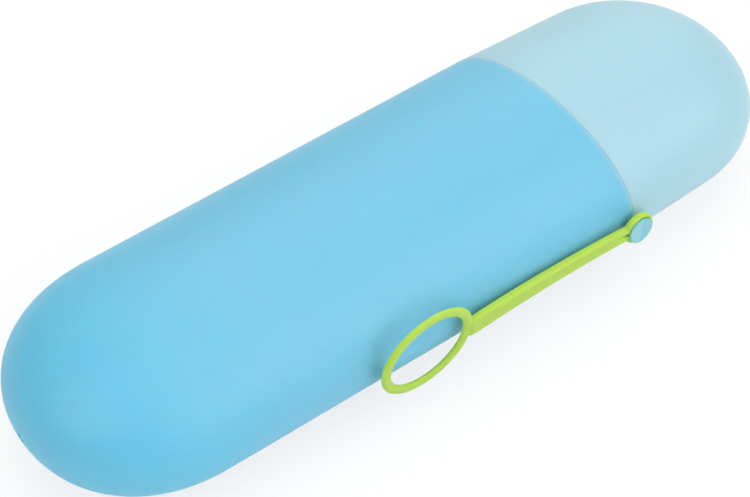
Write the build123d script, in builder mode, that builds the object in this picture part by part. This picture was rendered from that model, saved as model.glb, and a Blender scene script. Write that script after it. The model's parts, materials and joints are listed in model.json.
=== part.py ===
"""Travel toothbrush case: a capsule in two shells with a soft hanging strap.

The long outer sleeve slides over the neck of a domed cap.  The cap carries a
stud that passes through a slot in the sleeve's mouth, and the eyelet of the
strap is buttoned over the stud's head.  The strap ends in a finger ring.

Frame: X runs along the case towards the cap, -Y is the side with the strap,
Z is up.  The origin lies under the middle of the case, on the line that the
case rests on.  All sizes are in millimetres and all angles in degrees.
"""

import os
from math import cos, radians, sin, sqrt, tan

from build123d import *

# Whole case
case_length = 210.0
case_width = 68.1
case_height = 40.2

# Outer sleeve
mouth_x = 44.9  # middle of the sleeve's mouth, from the middle of the case
mouth_slant = 2.75  # the mouth reaches further along X on the strap's side
sleeve_wall = 1.2
sleeve_draft = 0.36
sleeve_dome_length = 34.6
sleeve_dome_fullness = 0.588  # 0.552 is a true ellipse, more is a blunter end
mouth_edge_radius = 0.3

# Gate mark in the middle of the sleeve's domed end
gate_radius = 1.4
gate_depth = 0.35
gate_nub_radius = 0.45
gate_nub_height = 0.2

# Cap
cap_step = 0.1  # the cap's skin lies this far inside the sleeve's skin
cap_draft = 2.0
cap_wall = 1.8
cap_dome_length = 30.5
cap_dome_fullness = 0.552
cavity_draft = 0.4
shoulder_gap = 0.1  # seam between the sleeve's mouth and the cap's shoulder
shoulder_edge_radius = 0.15

# Neck of the cap, inside the sleeve
neck_length = 26.0
neck_wall = 1.4
neck_clearance = 0.25
neck_lead_in = 1.2  # length of the sloped lead-in at the free end
neck_lead_in_depth = 0.4

# Snap ridges across the broad faces of the neck, and their grooves in the sleeve
ridge_width = 16.0
ridge_length = 1.6
ridge_height = 0.15
ridge_inset = 6.0  # from the free end of the neck
groove_clearance = 0.1

# Stud on the side of the cap
stud_x = 45.7
post_radius = 1.1
slot_clearance = 0.15
head_radius = 3.6
head_rim_thickness = 0.5
head_root_depth = 0.45  # the underside slopes in by this much from the rim to the post
head_face_height = 3.92  # rim of the head's face above the sleeve's side
head_crown = 0.25  # the parting line across the face stands this far above its rim
head_edge_radius = 0.2
head_turn = 10.0  # the top of the parting line leans towards the cap's tip

# Eyelet of the strap
eyelet_radius = 4.3
eyelet_thickness = 2.0
eyelet_edge_radius = 0.8
eyelet_hole_clearance = 0.1
head_clearance = 0.12  # between the head and its seat in the eyelet
head_sink = 0.1  # the back of the head's rim lies this deep in the eyelet's front
slit_length = 6.35  # tip of the keyhole slit, from the stud's axis
slit_rise = 0.5  # height of the slit's tip above the stud's axis
slit_width = 1.9  # where the slit opens into the hole

# Band of the strap
band_edge_radius = 0.7
band_eyelet_height = 4.2
band_middle_height = 4.55
band_ring_height = 5.35
band_eyelet_thickness = 1.8
band_middle_thickness = 2.25
band_ring_thickness = 2.0
band_bow = 0.87  # the band's middle is drawn in towards the sleeve by this

# Ring of the strap
ring_distance = 64.3  # from the stud's axis to the ring's centre, along X
ring_rise = 0.9  # height of the ring's centre above the stud's axis
ring_radius = 12.0  # middle of the ring's section
ring_width = 2.58
ring_thickness = 1.56
ring_outer_edge_radius = 0.74
ring_bore_edge_radius = 0.38
ring_lean = 7.75  # the top of the ring leans out from the case
ring_turn = 1.75  # the far end of the ring stands out from the case

# Places that follow from the sizes above
axis_z = case_height / 2
half_width = case_width / 2
half_height = case_height / 2
sleeve_tip_x = -case_length / 2
cap_tip_x = case_length / 2
neck_end_x = mouth_x - neck_length
ridge_x = neck_end_x + ridge_inset

bore_half_width = half_width - sleeve_wall
bore_half_height = half_height - sleeve_wall
neck_half_width = bore_half_width - neck_clearance
neck_half_height = bore_half_height - neck_clearance
cavity_half_width = neck_half_width - neck_wall
cavity_half_height = neck_half_height - neck_wall

head_face_y = -half_width - head_face_height
head_back_y = head_face_y + head_rim_thickness
head_root_y = head_back_y + head_root_depth
head_crown_y = head_face_y - head_crown
post_root_y = -cavity_half_width - neck_wall / 3
eyelet_y = head_back_y - head_sink + eyelet_thickness / 2
ring_x = stud_x - ring_distance
ring_z = axis_z + ring_rise

case_axis = Axis((0, 0, axis_z), (1, 0, 0))
stud_axis = Axis((stud_x, 0, axis_z), (0, -1, 0))
head_plane = Plane(  # square to the parting line of the stud's head
    origin=(stud_x, 0, axis_z),
    x_dir=(cos(radians(head_turn)), 0, -sin(radians(head_turn))),
    z_dir=(sin(radians(head_turn)), 0, cos(radians(head_turn))),
)
mouth_plane = Plane(
    origin=(mouth_x, 0, axis_z),
    x_dir=(0, 0, 1),
    z_dir=(cos(radians(mouth_slant)), sin(radians(mouth_slant)), 0),
)
shoulder_plane = mouth_plane.offset(shoulder_gap)
mouth_reach = half_width * tan(radians(mouth_slant)) + 1  # clears the slanted mouth


def narrowed(breadth_at_mouth, x, draft):
    """Half breadth at x of a wall that narrows away from the mouth on both sides."""
    return breadth_at_mouth - abs(x - mouth_x) * tan(radians(draft))


def flattened_capsule(tip_x, open_x, dome_length, fullness, half_breadth, half_depth, draft):
    """Solid capsule end: domed at tip_x, then straight with draft to open_x.

    It is turned about the case's axis, half_breadth in radius at the mouth,
    and then flattened to half_depth.
    """
    inwards = 1 if open_x > tip_x else -1
    slope = inwards * tan(radians(draft))
    dome_x = tip_x + inwards * dome_length
    dome_radius = half_breadth + slope * (dome_x - mouth_x)
    open_radius = half_breadth + slope * (open_x - mouth_x)
    handle_x = dome_x - inwards * fullness * dome_length
    handle_radius = dome_radius + slope * (handle_x - dome_x)
    with BuildPart() as capsule:
        with BuildSketch(Plane.XY.offset(axis_z)):
            with BuildLine():
                Bezier(
                    (tip_x, 0),
                    (tip_x, fullness * dome_radius),
                    (handle_x, handle_radius),
                    (dome_x, dome_radius),
                )
                Polyline((dome_x, dome_radius), (open_x, open_radius), (open_x, 0), (tip_x, 0))
            make_face()
        revolve(axis=case_axis)
        scale(by=(1, 1, half_depth / half_breadth), about=(0, 0, axis_z))
    return capsule.part


def snap_bars(half_breadth, half_depth, bar_length, bar_width):
    """Bars across the top and bottom of an oval, at the place of the snap ridges."""
    with BuildPart() as bars:
        with BuildSketch(Plane.YZ.offset(ridge_x - bar_length / 2)):
            with Locations((0, axis_z)):
                Ellipse(half_breadth, half_depth)
                Rectangle(bar_width, case_height, mode=Mode.INTERSECT)
        extrude(amount=bar_length)
    return bars.part


# Outer sleeve: a long thin shell, open at the slanted mouth
sleeve_skin = flattened_capsule(
    sleeve_tip_x,
    mouth_x + mouth_reach,
    sleeve_dome_length,
    sleeve_dome_fullness,
    half_width,
    half_height,
    sleeve_draft,
)
sleeve_bore = flattened_capsule(
    sleeve_tip_x + sleeve_wall,
    mouth_x + mouth_reach,
    sleeve_dome_length - sleeve_wall,
    sleeve_dome_fullness,
    bore_half_width,
    bore_half_height,
    sleeve_draft,
)
groove_depth = ridge_height + groove_clearance
grooves = snap_bars(
    narrowed(bore_half_width, ridge_x, sleeve_draft) + groove_depth,
    narrowed(bore_half_height, ridge_x, sleeve_draft) + groove_depth,
    ridge_length + 2 * groove_clearance,
    ridge_width + 2 * groove_clearance,
)

with BuildPart() as outer_sleeve:
    add(sleeve_skin)
    split(bisect_by=mouth_plane, keep=Keep.BOTTOM)
    fillet(outer_sleeve.faces().sort_by(Axis.X)[-1].edges(), mouth_edge_radius)
    add(sleeve_bore, mode=Mode.SUBTRACT)
    add(grooves, mode=Mode.SUBTRACT)
    # U-shaped slot through which the stud's post runs out of the mouth
    with BuildSketch(Plane.XZ.offset(half_width / 2)):
        with Locations((stud_x, axis_z)):
            Circle(post_radius + slot_clearance)
            Rectangle(
                mouth_reach * 2,
                2 * (post_radius + slot_clearance),
                align=(Align.MIN, Align.CENTER),
            )
    extrude(amount=half_width, mode=Mode.SUBTRACT)
    # Moulding gate: a shallow dimple round a nub, in the middle of the dome
    with BuildSketch(Plane.YZ.offset(sleeve_tip_x)):
        with Locations((0, axis_z)):
            Circle(gate_radius)
            Circle(gate_nub_radius, mode=Mode.SUBTRACT)
    extrude(amount=gate_depth, mode=Mode.SUBTRACT)
    with BuildSketch(Plane.YZ.offset(sleeve_tip_x)):
        with Locations((0, axis_z)):
            Circle(gate_nub_radius)
    extrude(amount=gate_depth - gate_nub_height, mode=Mode.SUBTRACT)

outer_sleeve.part.label = "outer_sleeve"

# Cap: a domed skin with a shoulder, a thin neck, and the stud in one moulding
cap_skin = flattened_capsule(
    cap_tip_x,
    mouth_x - mouth_reach,
    cap_dome_length,
    cap_dome_fullness,
    half_width - cap_step,
    half_height - cap_step,
    cap_draft,
)
cap_cavity = flattened_capsule(
    cap_tip_x - cap_wall,
    neck_end_x,
    cap_dome_length - cap_wall,
    cap_dome_fullness,
    cavity_half_width,
    cavity_half_height,
    cavity_draft,
)
ridges = snap_bars(
    narrowed(neck_half_width, ridge_x, sleeve_draft) + ridge_height,
    narrowed(neck_half_height, ridge_x, sleeve_draft) + ridge_height,
    ridge_length,
    ridge_width,
)
neck_root_x = mouth_x + mouth_reach
neck_end_half_width = narrowed(neck_half_width, neck_end_x, sleeve_draft)

with BuildPart() as neck:
    with BuildSketch(Plane.XY.offset(axis_z)):
        Polygon(
            (neck_end_x, 0),
            (neck_end_x, neck_end_half_width - neck_lead_in_depth),
            (neck_end_x + neck_lead_in, neck_end_half_width),
            (neck_root_x, neck_half_width),
            (neck_root_x, 0),
            align=None,
        )
    revolve(axis=case_axis)
    scale(by=(1, 1, neck_half_height / neck_half_width), about=(0, 0, axis_z))

with BuildPart() as cap:
    add(cap_skin)
    split(bisect_by=shoulder_plane, keep=Keep.TOP)
    fillet(cap.faces().sort_by(Axis.X)[0].edges(), shoulder_edge_radius)
    add(neck.part)
    add(ridges)
    add(cap_cavity, mode=Mode.SUBTRACT)
    # Post of the stud, rooted in the wall of the neck
    with BuildSketch(Plane.XZ.offset(-post_root_y)):
        with Locations((stud_x, axis_z)):
            Circle(post_radius)
    extrude(amount=post_root_y - head_root_y)
    # Head of the stud: a thin plate on a cone that runs in to the post
    with BuildSketch(Plane.XY.offset(axis_z)):
        Polygon(
            (stud_x, head_root_y),
            (stud_x + post_radius, head_root_y),
            (stud_x + head_radius, head_back_y),
            (stud_x + head_radius, head_crown_y),
            (stud_x, head_crown_y),
            align=None,
        )
    revolve(axis=stud_axis)
    # Its face slopes down a little on each side of the parting line
    for side in (1, -1):
        slope_end = side * 2 * head_radius
        with BuildSketch(head_plane):
            Polygon(
                (0, head_crown_y),
                (slope_end, head_crown_y + 2 * head_crown),
                (slope_end, head_crown_y - head_crown),
                (0, head_crown_y - head_crown),
                align=None,
            )
        extrude(amount=2 * head_radius, both=True, mode=Mode.SUBTRACT)
    head_rim = cap.edges().filter_by_position(Axis.Y, head_crown_y - 0.01, head_face_y + 0.01)
    fillet(head_rim.filter_by(GeomType.LINE, reverse=True), head_edge_radius)

cap.part.label = "cap"

# Strap: eyelet, band and ring in one soft moulding
hole_radius = post_radius + eyelet_hole_clearance
seat_radius = head_radius + head_clearance
seat_edge_y = head_back_y + head_clearance
seat_floor_y = head_root_y + head_clearance
band_start_x = stud_x - hole_radius
band_end_x = ring_x + sqrt(ring_radius**2 - (band_ring_height / 2) ** 2)
band_middle_x = (stud_x + band_end_x) / 2
ring_y = eyelet_y
band_end_y = ring_y + (band_end_x - ring_x) * tan(radians(ring_turn))
ring_centre = (ring_x, ring_y, ring_z)
ring_along = Vector(cos(radians(ring_turn)), sin(radians(ring_turn)), 0)
ring_out = Vector(sin(radians(ring_turn)), -cos(radians(ring_turn)), 0)
ring_up = Vector(0, 0, cos(radians(ring_lean))) + ring_out * sin(radians(ring_lean))
ring_axis = Axis(ring_centre, ring_along.cross(ring_up))

with BuildPart() as strap:
    # Seen from above, the band bows in towards the sleeve
    with BuildSketch(Plane.XY.offset(axis_z)):
        with BuildLine():
            back = ThreePointArc(
                (band_start_x, eyelet_y + band_eyelet_thickness / 2),
                (band_middle_x, eyelet_y + band_bow + band_middle_thickness / 2),
                (band_end_x, band_end_y + band_ring_thickness / 2),
            )
            front = ThreePointArc(
                (band_start_x, eyelet_y - band_eyelet_thickness / 2),
                (band_middle_x, eyelet_y + band_bow - band_middle_thickness / 2),
                (band_end_x, band_end_y - band_ring_thickness / 2),
            )
            Line(back @ 0, front @ 0)
            Line(back @ 1, front @ 1)
        make_face()
    extrude(amount=ring_radius, both=True)
    # Seen from the side, it widens from the eyelet to the ring
    with BuildSketch(Plane.XZ.offset(half_width)):
        with BuildLine():
            upper = ThreePointArc(
                (band_start_x, axis_z + band_eyelet_height / 2),
                (band_middle_x, axis_z + band_middle_height / 2),
                (band_end_x, axis_z + band_ring_height / 2),
            )
            lower = ThreePointArc(
                (band_start_x, axis_z - band_eyelet_height / 2),
                (band_middle_x, axis_z - band_middle_height / 2),
                (band_end_x, axis_z - band_ring_height / 2),
            )
            Line(upper @ 0, lower @ 0)
            Line(upper @ 1, lower @ 1)
        make_face()
    extrude(amount=head_face_height * 2, mode=Mode.INTERSECT)
    fillet(strap.edges().filter_by(lambda edge: edge.length > ring_distance / 2), band_edge_radius)
    # Eyelet: a rounded bead with a sunk seat that follows the stud's head
    with BuildSketch(Plane.XY.offset(axis_z)):
        with Locations((stud_x, eyelet_y)):
            Rectangle(eyelet_radius, eyelet_thickness, align=(Align.MIN, Align.CENTER))
        fillet(vertices().group_by(Axis.X)[-1], eyelet_edge_radius)
    revolve(axis=stud_axis)
    with BuildSketch(Plane.XY.offset(axis_z)):
        Polygon(
            (stud_x, seat_floor_y),
            (stud_x + post_radius, seat_floor_y),
            (stud_x + seat_radius, seat_edge_y),
            (stud_x + seat_radius, seat_edge_y - eyelet_thickness),
            (stud_x, seat_edge_y - eyelet_thickness),
            align=None,
        )
    revolve(axis=stud_axis, mode=Mode.SUBTRACT)
    # Keyhole: the post's hole, with a slit that opens to pass the head
    with BuildSketch(Plane.XZ.offset(half_width)):
        with Locations((stud_x, axis_z)):
            Circle(hole_radius)
            Polygon(
                (0, slit_width / 2),
                (-slit_length, slit_rise),
                (0, -slit_width / 2),
                align=None,
            )
    extrude(amount=head_face_height * 2, mode=Mode.SUBTRACT)
    # Ring: a flat ring with rounded edges
    with BuildSketch(Plane(origin=ring_centre, x_dir=ring_along, z_dir=ring_up)):
        with Locations((ring_radius, 0)):
            Rectangle(ring_width, ring_thickness)
        fillet(vertices().group_by(Axis.X)[-1], ring_outer_edge_radius)
        fillet(vertices().group_by(Axis.X)[0], ring_bore_edge_radius)
    revolve(axis=ring_axis)

strap.part.label = "strap"

os.makedirs("parts", exist_ok=True)
export_step(outer_sleeve.part, "parts/outer_sleeve.step")
export_step(cap.part, "parts/cap.step")
export_step(strap.part, "parts/strap.step")
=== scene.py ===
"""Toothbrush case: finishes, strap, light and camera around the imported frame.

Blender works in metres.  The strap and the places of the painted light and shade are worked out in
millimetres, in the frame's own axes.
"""

import json
import math

import bpy
import numpy as np
import openvdb
from mathutils import Matrix, Vector

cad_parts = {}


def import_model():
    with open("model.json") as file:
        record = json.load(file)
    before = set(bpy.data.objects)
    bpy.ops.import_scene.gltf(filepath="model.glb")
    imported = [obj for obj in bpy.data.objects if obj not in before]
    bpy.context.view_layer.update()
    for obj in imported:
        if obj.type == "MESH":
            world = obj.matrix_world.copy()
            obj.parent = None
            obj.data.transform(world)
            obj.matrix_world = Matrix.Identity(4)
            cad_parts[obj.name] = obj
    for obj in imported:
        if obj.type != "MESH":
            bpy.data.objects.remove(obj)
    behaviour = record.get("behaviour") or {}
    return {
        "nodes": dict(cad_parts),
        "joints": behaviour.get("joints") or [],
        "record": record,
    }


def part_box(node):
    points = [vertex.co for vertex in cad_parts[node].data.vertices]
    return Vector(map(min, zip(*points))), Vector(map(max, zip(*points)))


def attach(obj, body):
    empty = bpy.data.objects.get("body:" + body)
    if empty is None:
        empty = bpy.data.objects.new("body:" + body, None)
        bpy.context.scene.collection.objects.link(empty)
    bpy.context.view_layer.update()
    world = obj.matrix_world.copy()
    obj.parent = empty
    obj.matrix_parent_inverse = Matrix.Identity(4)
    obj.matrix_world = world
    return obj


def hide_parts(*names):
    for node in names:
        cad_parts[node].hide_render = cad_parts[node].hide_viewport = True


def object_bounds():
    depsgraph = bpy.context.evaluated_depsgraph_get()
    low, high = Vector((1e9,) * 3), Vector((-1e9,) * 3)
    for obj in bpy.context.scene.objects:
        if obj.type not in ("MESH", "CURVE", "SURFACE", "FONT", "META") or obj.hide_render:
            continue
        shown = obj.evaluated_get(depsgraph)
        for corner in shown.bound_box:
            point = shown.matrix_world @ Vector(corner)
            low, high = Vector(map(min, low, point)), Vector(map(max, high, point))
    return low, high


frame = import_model()
cad_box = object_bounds()

MM = 0.001

# Camera: seen from the tip's end, the strap's side and above
VIEW_AZIMUTH = -33.64
VIEW_ELEVATION = 47.18
VIEW_ROLL = -3.4
VIEW_DISTANCE = 451.2 * MM
VIEW_RIGHT = 5.5 * MM  # the case's middle lies this far right of the picture's middle
VIEW_DOWN = -5.4 * MM  # and this far below it
FOCAL_PIXELS = 1841.0
PICTURE_WIDTH = 750.0  # in pixels
SENSOR_WIDTH = 36.0  # in millimetres
NEAREST_SEEN = 0.01  # in metres
FARTHEST_SEEN = 20

# Colours, as linear light
SLEEVE_BLUE = (0.163, 0.504, 0.721)
CAP_BLUE = (0.367, 0.594, 0.683)
STRAP_GREEN = (0.408, 0.593, 0.07)
FLOOR_WHITE = (0.9, 0.9, 0.9)
PLAIN_WHITE = (1, 1, 1, 1)

# Unevenness of every moulded surface, with its features counted to the metre
PIGMENT_DRIFTS = 55
PIGMENT_STRETCH = (0.25, 1, 1)  # pigment drifts along the case
GLOSS_PATCHES = 260
GLOSS_SPREAD = 0.03  # either side of the surface's own roughness
WAVES = 90
WAVE_DEPTH = 0.02 * MM
WAVE_STRENGTH = 0.5
GRAIN_STRENGTH = 0.6
NOISE_RANGE = (0.3, 0.7)  # noise seldom leaves it

# Painted shade: the sleeve's closed end gets less light and sheen, painted into its colour as a deeper
# blue, by these shares
END_PAINTED_SHADE = (0.81, 1.02, 1.05)
END_SHADE_PLACES = (52, 85)  # from where it begins to where it is full, in millimetres from the case's middle

# Painted light: the light that the sleeve's thin edge at its mouth lets through is painted into its colour,
# paler up to the mouth
MOUTH_PAINTED_LIGHT = (1.45, 1.03, 1.0)
MOUTH_X = 44.9  # where the mouth's plane crosses the case's middle, in millimetres
MOUTH_SLANT = 2.75  # degrees by which the plane leans along the case on the strap's side
MOUTH_PAINTED_LIGHT_WIDTH = 1.8
# Painted light on the mouth's rounded edge, which lifts the shade in the seam's gap
MOUTH_EDGE_PAINTED_LIGHT = (1.6, 1.35, 1.25)
MOUTH_EDGE_WIDTHS = (0.45, 0.15)  # from where it begins to where it is full

# Painted shade: the stud's thick head is painted deeper in colour than the cap, by these shares, and its
# two faces differently as the light falls on them
HEAD_PAINTED_SHADES = ((0.74, 0.97, 0.99), (0.58, 0.87, 0.94))  # on the two sides of its parting line
HEAD_SHADE_PLACES = (0.6, 1.0)  # in front of the eyelet's middle, from where it begins to where it is full
# Painted shade in the parting line's groove
HEAD_LINE_PAINTED_SHADE = (0.6, 0.84, 0.87)
HEAD_LINE_TURN = 10.0  # degrees by which the line leans
HEAD_LINE_WIDTH = 0.25  # in millimetres
# Painted reflection: the eyelet's green is painted into the head's rim
HEAD_RIM_PAINTED_REFLECTION = (0.62, 0.86, 0.7)  # the eyelet's green shines into the rim
HEAD_RIM_PLACES = (3.4, 3.75)  # from the stud's middle, in millimetres

# Painted light: the light that comes through the rubber beside the keyhole's slit is painted on its walls
# as a clear green
SLIT_PAINTED_LIGHT = (0.92, 1.25, 0.42)

# Floor: white paper, its size in metres
FLOOR_SIZE = 6
FLOOR_GLOW = 0.75  # share of plain white in what the camera sees of the floor
FLOOR_ROUGHNESS = 0.9
FLOOR_GLOSS = 0.1
FIBRES = 900  # to the metre
FIBRE_SHADE = 0.99  # share of the white that is left between them
FIBRE_DEPTH = 0.05 * MM
FIBRE_STRENGTH = 0.2

# Light: softboxes all round and overhead, and two low ones half as high, in metres
WORLD_STRENGTH = 0.05
SOFTBOX_DISTANCE = 1.2
SOFTBOX_SIZE = 0.9
LOW_SOFTBOX_HEIGHT = 0.45
LOW_ELEVATION = 20  # a softbox below it is a low one
SOFTBOXES = (  # azimuth from +X, elevation, watts
    (0, 90, 4.7),
    (45, 42, 3.4),
    (90, 42, 2.1),
    (180, 42, 5.8),
    (270, 42, 5.1),
    (315, 42, 5.5),
    (45, 12, 1.1),
    (270, 12, 1.5),
)

# Strap, in millimetres
EYELET_RADIUS = 4.3
EYELET_THICKNESS = 2.0
EYELET_EDGE = 0.8
HOLE_RADIUS = 1.2
SEAT_RADIUS = 3.66
SEAT_PLACES = (0.39, 0.84)  # its bottom at the hole and at its edge, in front of the eyelet's middle
SLIT_LENGTH = 7.1
SLIT_RISE = 0.5  # its far end lies this far above the stud's middle
SLIT_WIDTH = 1.9
BAND_HEIGHTS = (4.2, 4.55, 5.35)  # at the eyelet, half way and at the ring
BAND_THICKNESSES = (1.8, 2.15, 2.0)
BAND_DEPTHS = (0.1, 0.87, 0.22)  # how far its middle lies behind the eyelet's
BAND_TWIST = 0.4  # share of the ring's lean that the band has at its end
BAND_TWIST_START = 0.9  # share of the band's length from which it leans
BAND_EDGE = 0.75
BAND_FLAT = 0.02  # the rounding of its edges stops at least this short of its middle
RING_WIDTH = 2.58
RING_THICKNESS = 1.56
RING_FILLET = 0.5
RING_FILLET_INSETS = (1.2, 0.4)  # inside the band's edges, from where it begins to where it is full
LEAST_FILLET = 0.02
EYELET_FILLET = 0.2
CUT_EDGE = 0.07  # rounding of the seat's, hole's and slit's edges

# Grid that the strap's surface is drawn from, in millimetres and in its cells
STRAP_CELL = 0.15
GRID_MARGIN = 4
GRID_SHELL = 3  # distances beyond it aren't told apart
SETTLE_ROUNDS = 3
SETTLE_STEP = 0.05  # farthest that a point moves in a round
SLOPE_NUDGE = 0.01
LEAST_STEEPNESS = 0.3
LEAST_DIVISOR = 1e-6


def rounded_box(across, ahead, half_width, half_depth, edge):
    """Distance to a rectangle with rounded corners."""
    out_x = np.abs(across) - half_width + edge
    out_y = np.abs(ahead) - half_depth + edge
    outside = np.hypot(np.maximum(out_x, 0), np.maximum(out_y, 0))
    return outside + np.minimum(np.maximum(out_x, out_y), 0) - edge


def oval(across, ahead, half_width, half_depth):
    """Distance to an ellipse, exact on its surface and near enough beside it."""
    near = np.hypot(across / half_width, ahead / half_depth)
    slope = np.hypot(across / half_width**2, ahead / half_depth**2)
    return near * (near - 1) / np.maximum(slope, LEAST_DIVISOR)


def joined(first, second, fillet):
    """Union of two distances, with a round fillet in the corner between them."""
    corner = np.hypot(np.maximum(fillet - first, 0), np.maximum(fillet - second, 0))
    return np.maximum(fillet, np.minimum(first, second)) - corner


def cut(body, tool, edge):
    """The body's distance less the tool's, with the new edges rounded."""
    corner = np.hypot(np.maximum(edge + body, 0), np.maximum(edge - tool, 0))
    return np.minimum(-edge, np.maximum(body, -tool)) + corner


def eased(value, start, end):
    """0 before start, 1 after end, smooth between."""
    share = np.clip((value - start) / (end - start), 0, 1)
    return share * share * (3 - 2 * share)


def through(values, share):
    """Curve through three values at 0, a half and 1."""
    first, middle, last = values
    bow = 2 * (first + last) - 4 * middle
    return first + (last - first - bow) * share + bow * share * share


stud = Vector(next(j for j in frame["joints"] if j["name"] == "strap_swing")["pos_m"]) / MM
ring_mount = next(m for m in frame["record"]["mounts"] if m["name"] == "hang_ring")
ring_centre = Vector(ring_mount["pos_m"]) / MM
ring_axis = Vector(ring_mount["axis"])
ring_radius = ring_mount["dims"]["r_mm"] + RING_WIDTH / 2
band_length = stud.x - ring_centre.x - ring_radius
ring_lean = ring_axis.z / -ring_axis.y


def about_ring(x, y, z):
    """How far a point lies outside the ring's middle circle, and how far above its plane."""
    from_ring = (x - ring_centre.x, y - ring_centre.y, z - ring_centre.z)
    rise = sum(part * axis for part, axis in zip(from_ring, ring_axis))
    from_axis = np.sqrt(np.maximum(sum(part**2 for part in from_ring) - rise**2, 0))
    return from_axis - ring_radius, rise


def band_distance(x, y, z, height, beyond, rise):
    """Distance to the band, which runs out flush in the ring's own width."""
    share = (stud.x - x) / band_length
    thickness = through(BAND_THICKNESSES, share)
    middle = stud.y + through(BAND_DEPTHS, share)
    middle = middle + BAND_TWIST * ring_lean * (z - stud.z) * eased(share, BAND_TWIST_START, 1)
    in_ring = 1 - eased(beyond, 0, RING_WIDTH / 2)
    ring_middle = y + rise / -ring_axis.y
    thickness = thickness + (RING_THICKNESS - thickness) * in_ring
    middle = middle + (ring_middle - middle) * in_ring
    edge = np.minimum(BAND_EDGE, thickness / 2 - BAND_FLAT)
    band = rounded_box(z - stud.z, y - middle, height / 2, thickness / 2, edge)
    band = np.maximum(band, np.maximum(-beyond, x - stud.x))
    return np.maximum(band, ring_centre.x - x)


def slit_distance(x, z):
    """Distance to the keyhole's slit, a wedge that narrows away from the hole."""
    share = (stud.x - x) / SLIT_LENGTH
    middle = stud.z + SLIT_RISE * share
    wedge = np.abs(z - middle) - SLIT_WIDTH / 2 * (1 - share)
    return np.maximum(wedge, x - stud.x)


def strap_distance(x, y, z):
    """Distance in millimetres from a point to the strap's surface, negative inside."""
    beyond, rise = about_ring(x, y, z)
    ring = oval(beyond, rise, RING_WIDTH / 2, RING_THICKNESS / 2)
    height = through(BAND_HEIGHTS, (stud.x - x) / band_length)
    band = band_distance(x, y, z, height, beyond, rise)
    fillet_places = (height / 2 - inset for inset in RING_FILLET_INSETS)
    fillet = RING_FILLET * eased(np.abs(z - stud.z), *fillet_places)
    whole = joined(band, ring, np.maximum(fillet, LEAST_FILLET))
    from_stud = np.hypot(x - stud.x, z - stud.z)
    eyelet = rounded_box(from_stud, y - stud.y, EYELET_RADIUS, EYELET_THICKNESS / 2, EYELET_EDGE)
    whole = joined(whole, eyelet, EYELET_FILLET)
    # Seat for the stud's head, hole for its post, and the keyhole's slit
    seat_place = np.interp(from_stud, (HOLE_RADIUS, SEAT_RADIUS), SEAT_PLACES)
    seat = np.maximum(from_stud - SEAT_RADIUS, y - stud.y + seat_place)
    hole = np.minimum(from_stud - HOLE_RADIUS, slit_distance(x, z))
    return cut(whole, np.minimum(seat, hole), CUT_EDGE)


def strap_slopes(points):
    """How steeply the strap's distance rises along each axis, at each point."""
    slopes = []
    for axis in range(3):
        nudge = np.zeros(3)
        nudge[axis] = SLOPE_NUDGE
        ahead, behind = points + nudge, points - nudge
        slopes.append((strap_distance(*ahead.T) - strap_distance(*behind.T)) / (2 * SLOPE_NUDGE))
    return np.stack(slopes, axis=1)


def settled(points):
    """The points, moved on to the strap's surface in a few rounds."""
    for _ in range(SETTLE_ROUNDS):
        slope = strap_slopes(points)
        steep = np.maximum((slope**2).sum(axis=1), LEAST_STEEPNESS)
        step = strap_distance(*points.T) / steep
        points = points - np.clip(step, -SETTLE_STEP, SETTLE_STEP)[:, None] * slope
    return points


def strap_mesh():
    """The strap's surface as quads, drawn from its distance on a grid and then settled on to it."""
    low, high = (Vector(corner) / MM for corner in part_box("strap"))
    margin = GRID_MARGIN * STRAP_CELL
    steps = [np.arange(low[i] - margin, high[i] + margin, STRAP_CELL, dtype=np.float32) for i in range(3)]
    x, y, z = steps[0][:, None, None], steps[1][None, :, None], steps[2][None, None, :]
    field = strap_distance(x, y, z)
    shell = GRID_SHELL * STRAP_CELL
    grid = openvdb.FloatGrid(shell)
    grid.copyFromArray(np.clip(field, -shell, shell).astype(np.float32))
    points, quads = grid.convertToQuads(0.0)
    points = settled(points.astype(float) * STRAP_CELL + np.array([s[0] for s in steps]))
    mesh = bpy.data.meshes.new("strap")
    mesh.from_pydata((points * MM).tolist(), [], quads[:, ::-1].tolist())
    mesh.polygons.foreach_set("use_smooth", [True] * len(mesh.polygons))
    mesh.validate()
    mesh.update()
    return mesh


def blank_material(name):
    """New material; gives it, its node tree and its shader node."""
    made = bpy.data.materials.new(name)
    made.use_nodes = True
    return made, made.node_tree, made.node_tree.nodes["Principled BSDF"]


def node(tree, kind, **settings):
    """New node of that kind, with those settings."""
    made = tree.nodes.new(kind)
    for key, value in settings.items():
        setattr(made, key, value)
    return made


def noise(tree, place, per_metre, detail, stretch=(1, 1, 1)):
    """Noise with that many features to the metre, drawn out along an axis by a stretch below 1."""
    mapping = node(tree, "ShaderNodeMapping")
    mapping.inputs["Scale"].default_value = [per_metre * part for part in stretch]
    tree.links.new(place, mapping.inputs["Vector"])
    made = node(tree, "ShaderNodeTexNoise")
    made.inputs["Scale"].default_value = 1
    made.inputs["Detail"].default_value = detail
    tree.links.new(mapping.outputs["Vector"], made.inputs["Vector"])
    return made.outputs["Fac"]


def ramp(tree, value, start, end, low=0, high=1):
    """Low up to start, high from end on, even between."""
    made = node(tree, "ShaderNodeMapRange")
    made.inputs["From Min"].default_value = start
    made.inputs["From Max"].default_value = end
    made.inputs["To Min"].default_value = low
    made.inputs["To Max"].default_value = high
    tree.links.new(value, made.inputs["Value"])
    return made.outputs["Result"]


def mixed(tree, share, first, second, blend="MIX"):
    """Colour between two others, each of them written out or another node's."""
    made = node(tree, "ShaderNodeMix", data_type="RGBA", blend_type=blend)
    tree.links.new(share, made.inputs["Factor"])
    for name, colour in (("A", first), ("B", second)):
        if isinstance(colour, bpy.types.NodeSocket):
            tree.links.new(colour, made.inputs[name])
        else:
            made.inputs[name].default_value = (*colour, 1)
    return made.outputs["Result"]


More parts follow.
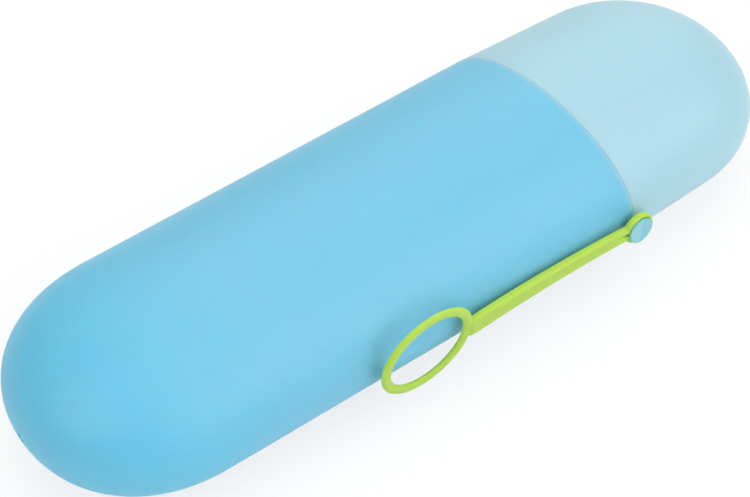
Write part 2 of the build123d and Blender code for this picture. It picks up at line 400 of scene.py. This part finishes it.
def worked_out(tree, operation, *values):
    """Result of an operation on values, each of them written out or another node's."""
    made = node(tree, "ShaderNodeMath", operation=operation)
    for value, entry in zip(values, made.inputs):
        if isinstance(value, bpy.types.NodeSocket):
            tree.links.new(value, entry)
        else:
            entry.default_value = value
    return made.outputs["Value"]


def along(tree, place, direction):
    """How far a place lies along a direction, from the origin."""
    made = node(tree, "ShaderNodeVectorMath", operation="DOT_PRODUCT")
    made.inputs[1].default_value = direction
    tree.links.new(place, made.inputs[0])
    return made.outputs["Value"]


def away_from(tree, place, point):
    """How far a place lies from a point."""
    made = node(tree, "ShaderNodeVectorMath", operation="DISTANCE")
    made.inputs[1].default_value = point
    tree.links.new(place, made.inputs[0])
    return made.outputs["Value"]


def raised(tree, height, distance, strength, under=None):
    """Bump of that depth, in metres, over another one."""
    made = node(tree, "ShaderNodeBump")
    made.inputs["Distance"].default_value = distance
    made.inputs["Strength"].default_value = strength
    tree.links.new(height, made.inputs["Height"])
    if under:
        tree.links.new(under, made.inputs["Normal"])
    return made.outputs["Normal"]


def moulded(name, colour, drift, roughness, depth, reach, grain_per_metre, grain_depth):
    """Moulded plastic or rubber: drifts of pigment, uneven satin, shallow waves and a fine grain.

    The colour drifts by a share either way.  Light goes depth metres into the surface, times the
    reach of each colour.
    """
    made, tree, shader = blank_material(name)
    place = node(tree, "ShaderNodeTexCoord").outputs["Object"]
    drifts = noise(tree, place, PIGMENT_DRIFTS, detail=3, stretch=PIGMENT_STRETCH)
    lighter = [part * (1 + drift) for part in colour]
    darker = [part * (1 - drift) for part in colour]
    pigment = mixed(tree, ramp(tree, drifts, *NOISE_RANGE), darker, lighter)
    tree.links.new(pigment, shader.inputs["Base Color"])
    patches = noise(tree, place, GLOSS_PATCHES, detail=3)
    satin = ramp(tree, patches, *NOISE_RANGE, roughness - GLOSS_SPREAD, roughness + GLOSS_SPREAD)
    tree.links.new(satin, shader.inputs["Roughness"])
    waves = raised(tree, noise(tree, place, WAVES, detail=1), WAVE_DEPTH, WAVE_STRENGTH)
    grain = noise(tree, place, grain_per_metre, detail=2)
    tree.links.new(raised(tree, grain, grain_depth, GRAIN_STRENGTH, waves), shader.inputs["Normal"])
    shader.inputs["Subsurface Weight"].default_value = 1
    shader.inputs["Subsurface Radius"].default_value = reach
    shader.inputs["Subsurface Scale"].default_value = depth
    return made


def tree_and_place(material):
    """A moulded material's node tree, and the place on the object in it, in metres."""
    tree = material.node_tree
    return tree, tree.nodes["Texture Coordinate"].outputs["Object"]


def tint(tree, share, factors):
    """Multiplies the base colour by those factors, as far as the share says."""
    colour = tree.nodes["Principled BSDF"].inputs["Base Color"]
    tree.links.new(mixed(tree, share, colour.links[0].from_socket, factors, "MULTIPLY"), colour)


def paint_sleeve_light_and_shade(material):
    """Paints shade on the sleeve, deeper in colour towards its closed end, and the light its thin mouth
    lets through, paler up to its mouth.
    """
    tree, place = tree_and_place(material)
    to_end = along(tree, place, (-1, 0, 0))
    tint(tree, ramp(tree, to_end, *(x * MM for x in END_SHADE_PLACES)), END_PAINTED_SHADE)
    slant = math.radians(MOUTH_SLANT)
    to_mouth = along(tree, place, (math.cos(slant), math.sin(slant), 0))
    mouth = MOUTH_X * math.cos(slant)
    tint(tree, ramp(tree, to_mouth, (mouth - MOUTH_PAINTED_LIGHT_WIDTH) * MM, mouth * MM), MOUTH_PAINTED_LIGHT)
    edge_places = ((mouth - width) * MM for width in MOUTH_EDGE_WIDTHS)
    tint(tree, ramp(tree, to_mouth, *edge_places), MOUTH_EDGE_PAINTED_LIGHT)


def paint_head_shade(material):
    """Paints shade on the stud's head: on each side of its parting line and in it, and a painted reflection
    of the eyelet's green at the rim.
    """
    tree, place = tree_and_place(material)
    to_front = along(tree, place, (0, -1, 0))
    on_head = ramp(tree, to_front, *((front - stud.y) * MM for front in HEAD_SHADE_PLACES))
    turn = math.radians(HEAD_LINE_TURN)
    square = Vector((math.cos(turn), 0, -math.sin(turn)))
    line = square.dot(stud) * MM
    edge = HEAD_LINE_WIDTH / 2 * MM
    far_side = ramp(tree, along(tree, place, square), line - edge, line + edge)
    on_line = ramp(tree, worked_out(tree, "PINGPONG", far_side, 0.5), 0, 0.5)
    head = mixed(tree, far_side, *HEAD_PAINTED_SHADES)
    head = mixed(tree, on_line, head, HEAD_LINE_PAINTED_SHADE, "MULTIPLY")
    from_stud = away_from(tree, place, stud * MM)
    on_rim = ramp(tree, from_stud, *(radius * MM for radius in HEAD_RIM_PLACES))
    head = mixed(tree, on_rim, head, HEAD_RIM_PAINTED_REFLECTION, "MULTIPLY")
    tint(tree, on_head, head)


def paint_slit_light(material):
    """Paints the light that comes through the rubber on the slit's walls as a clear green, where the wedge
    that it is cut by lies.
    """
    tree, place = tree_and_place(material)
    middle = stud.z + SLIT_RISE * stud.x / SLIT_LENGTH
    rise = along(tree, place, (SLIT_RISE / SLIT_LENGTH, 0, 1))
    off_middle = worked_out(tree, "ABSOLUTE", worked_out(tree, "SUBTRACT", rise, middle * MM))
    narrowing = SLIT_WIDTH / 2 / SLIT_LENGTH
    widest = (SLIT_WIDTH / 2 - narrowing * stud.x) * MM
    half_width = worked_out(tree, "ADD", along(tree, place, (narrowing, 0, 0)), widest)
    on_wall = ramp(tree, worked_out(tree, "SUBTRACT", off_middle, half_width), CUT_EDGE * MM, 0)
    beside_stud = ramp(tree, along(tree, place, (1, 0, 0)), stud.x * MM, (stud.x - HOLE_RADIUS) * MM)
    tint(tree, worked_out(tree, "MULTIPLY", on_wall, beside_stud), SLIT_PAINTED_LIGHT)


def dress(name, material):
    """Gives one of the frame's objects its material."""
    held = frame["nodes"][name]
    held.data.materials.clear()
    held.data.materials.append(material)


def strap(material):
    """The strap's moulding, in the place of the frame's own."""
    made = bpy.data.objects.new("strap_moulding", strap_mesh())
    bpy.context.scene.collection.objects.link(made)
    made.data.materials.append(material)
    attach(made, "strap")
    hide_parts("strap")


sleeve_plastic = moulded(
    "sleeve_plastic",
    SLEEVE_BLUE,
    drift=0.012,
    roughness=0.45,
    depth=3 * MM,
    reach=(0.2, 0.9, 1),
    grain_per_metre=5000,
    grain_depth=0.008 * MM,
)
paint_sleeve_light_and_shade(sleeve_plastic)
dress("outer_sleeve", sleeve_plastic)

cap_plastic = moulded(
    "cap_plastic",
    CAP_BLUE,
    drift=0.008,
    roughness=0.45,
    depth=3 * MM,
    reach=(0.6, 1, 1),
    grain_per_metre=5000,
    grain_depth=0.008 * MM,
)
paint_head_shade(cap_plastic)
dress("cap", cap_plastic)

strap_rubber = moulded(
    "strap_rubber",
    STRAP_GREEN,
    drift=0.012,
    roughness=0.5,
    depth=1.5 * MM,
    reach=(0.8, 1, 0.3),
    grain_per_metre=7000,
    grain_depth=0.006 * MM,
)
paint_slit_light(strap_rubber)
strap(strap_rubber)


def camera():
    """Camera placed by azimuth, elevation and roll about the case's middle."""
    low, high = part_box("outer_sleeve")
    target = Vector((0, 0, (low[2] + high[2]) / 2))
    azimuth, elevation, roll = (math.radians(a) for a in (VIEW_AZIMUTH, VIEW_ELEVATION, VIEW_ROLL))
    back = Vector((
        math.sin(azimuth) * math.cos(elevation),
        -math.cos(azimuth) * math.cos(elevation),
        math.sin(elevation),
    ))
    level_right = Vector((math.cos(azimuth), math.sin(azimuth), 0))
    level_up = back.cross(level_right)
    right = math.cos(roll) * level_right + math.sin(roll) * level_up
    up = math.cos(roll) * level_up - math.sin(roll) * level_right
    data = bpy.data.cameras.new("camera")
    data.sensor_width = SENSOR_WIDTH
    data.lens = FOCAL_PIXELS / PICTURE_WIDTH * SENSOR_WIDTH
    data.clip_start = NEAREST_SEEN
    data.clip_end = FARTHEST_SEEN
    place = target - right * VIEW_RIGHT + up * VIEW_DOWN + back * VIEW_DISTANCE
    made = bpy.data.objects.new("camera", data)
    axes = Matrix((right, up, back)).transposed().to_4x4()
    made.matrix_world = Matrix.Translation(place) @ axes
    bpy.context.scene.collection.objects.link(made)
    bpy.context.scene.camera = made


def mix_shaders(tree, share, first, second, output):
    """Sends the output one shader, and the other as far as the share says."""
    both = node(tree, "ShaderNodeMixShader")
    tree.links.new(share, both.inputs["Fac"])
    tree.links.new(first, both.inputs[1])
    tree.links.new(second, both.inputs[2])
    tree.links.new(both.outputs["Shader"], tree.nodes[output].inputs["Surface"])


def floor():
    """White paper.  The camera sees part of it as plain white, and the rest keeps the shadow."""
    bpy.ops.mesh.primitive_plane_add(size=FLOOR_SIZE, location=(0, 0, cad_box[0].z))
    made = bpy.context.object
    made.name = "floor"
    paper, tree, shader = blank_material("floor_paper")
    place = node(tree, "ShaderNodeTexCoord").outputs["Object"]
    shade = [part * FIBRE_SHADE for part in FLOOR_WHITE]
    fibres = noise(tree, place, FIBRES, detail=4)
    white = mixed(tree, ramp(tree, fibres, *NOISE_RANGE), shade, FLOOR_WHITE)
    tree.links.new(white, shader.inputs["Base Color"])
    shader.inputs["Roughness"].default_value = FLOOR_ROUGHNESS
    shader.inputs["Specular IOR Level"].default_value = FLOOR_GLOSS
    tree.links.new(raised(tree, fibres, FIBRE_DEPTH, FIBRE_STRENGTH), shader.inputs["Normal"])
    glow = node(tree, "ShaderNodeEmission")
    ray = node(tree, "ShaderNodeLightPath")
    share = worked_out(tree, "MULTIPLY", ray.outputs["Is Camera Ray"], FLOOR_GLOW)
    mix_shaders(tree, share, shader.outputs["BSDF"], glow.outputs["Emission"], "Material Output")
    made.data.materials.append(paper)


def world():
    """Faint even light; the camera sees plain white."""
    made = bpy.data.worlds.new("world")
    made.use_nodes = True
    tree = made.node_tree
    dim = tree.nodes["Background"]
    dim.inputs["Color"].default_value = PLAIN_WHITE
    dim.inputs["Strength"].default_value = WORLD_STRENGTH
    seen = node(tree, "ShaderNodeBackground")
    seen.inputs["Color"].default_value = PLAIN_WHITE
    share = node(tree, "ShaderNodeLightPath").outputs["Is Camera Ray"]
    mix_shaders(tree, share, dim.outputs["Background"], seen.outputs["Background"], "World Output")
    bpy.context.scene.world = made


def lights():
    """Softboxes, each of them facing the case's middle."""
    target = Vector((0, 0, (cad_box[0].z + cad_box[1].z) / 2))
    for azimuth, elevation, watts in SOFTBOXES:
        turn, rise = math.radians(azimuth), math.radians(elevation)
        towards = Vector((math.cos(turn) * math.cos(rise), math.sin(turn) * math.cos(rise), math.sin(rise)))
        data = bpy.data.lights.new("softbox", "AREA")
        data.shape = "RECTANGLE"
        data.size = SOFTBOX_SIZE
        data.size_y = LOW_SOFTBOX_HEIGHT if elevation < LOW_ELEVATION else SOFTBOX_SIZE
        data.energy = watts
        made = bpy.data.objects.new("softbox", data)
        made.location = target + towards * SOFTBOX_DISTANCE
        made.rotation_euler = (-towards).to_track_quat("-Z", "Y").to_euler()
        bpy.context.scene.collection.objects.link(made)


floor()
world()
lights()
camera()
bpy.context.scene.view_settings.view_transform = "Standard"
